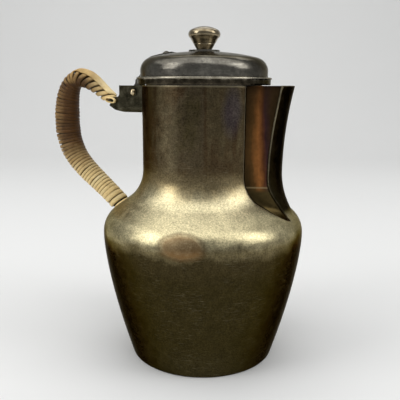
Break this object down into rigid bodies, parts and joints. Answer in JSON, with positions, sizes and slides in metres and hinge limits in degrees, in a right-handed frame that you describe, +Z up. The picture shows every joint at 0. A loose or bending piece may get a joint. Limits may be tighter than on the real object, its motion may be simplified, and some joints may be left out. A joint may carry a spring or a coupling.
{
  "type": "coffee pot",
  "caption": "Hotel-ware coffee pot with a raised shouldered body, a cut-and-spread spout, a hinged domed lid with a turned knob and a cane-bound side handle.",
  "frame": {"origin": "centre of the flat base, on the surface that the pot stands on", "axes": "+Z up, +X towards the spout, -X towards the handle, +Y to the left of the spout seen from behind"},
  "size_m": [0.1669, 0.1236, 0.201],
  "materials": {
    "plated_body": "tarnished silver plate over brass-toned metal, finely scratched",
    "plated_lid": "tarnished silver plate, grey, finely pitted",
    "hinge_metal": "dark tarnished plate",
    "cane": "split cane, bound in close turns"
  },
  "bodies": {
    "pot": {"body_shell": "plated_body", "bottom_plate": "plated_body", "spout_front": "plated_body", "spout_cheek_left": "plated_body", "spout_cheek_right": "plated_body", "hinge_bracket": "hinge_metal", "bracket_foot": "hinge_metal", "hinge_pin": "hinge_metal", "hinge_washers": "hinge_metal", "handle_core": "hinge_metal", "handle_foot": "hinge_metal", "cane_wrap": "cane", "cane_splint": "cane"},
    "lid": {"lid_dome": "plated_lid", "lid_rim": "plated_lid", "lid_bezel": "plated_lid", "hinge_strap": "plated_lid", "strap_rivets": "plated_lid", "knob": "plated_lid", "knob_washer": "plated_lid", "knob_stud": "plated_lid", "nut_washer": "plated_lid", "knob_nut": "plated_lid"}
  },
  "joints": [
    {"name": "lid_hinge", "type": "hinge", "parent": "pot", "child": "lid", "pos_m": [-0.0444, 0, 0.1625], "axis": [0, -1, 0], "range_deg": [0, 85]}
  ]
}
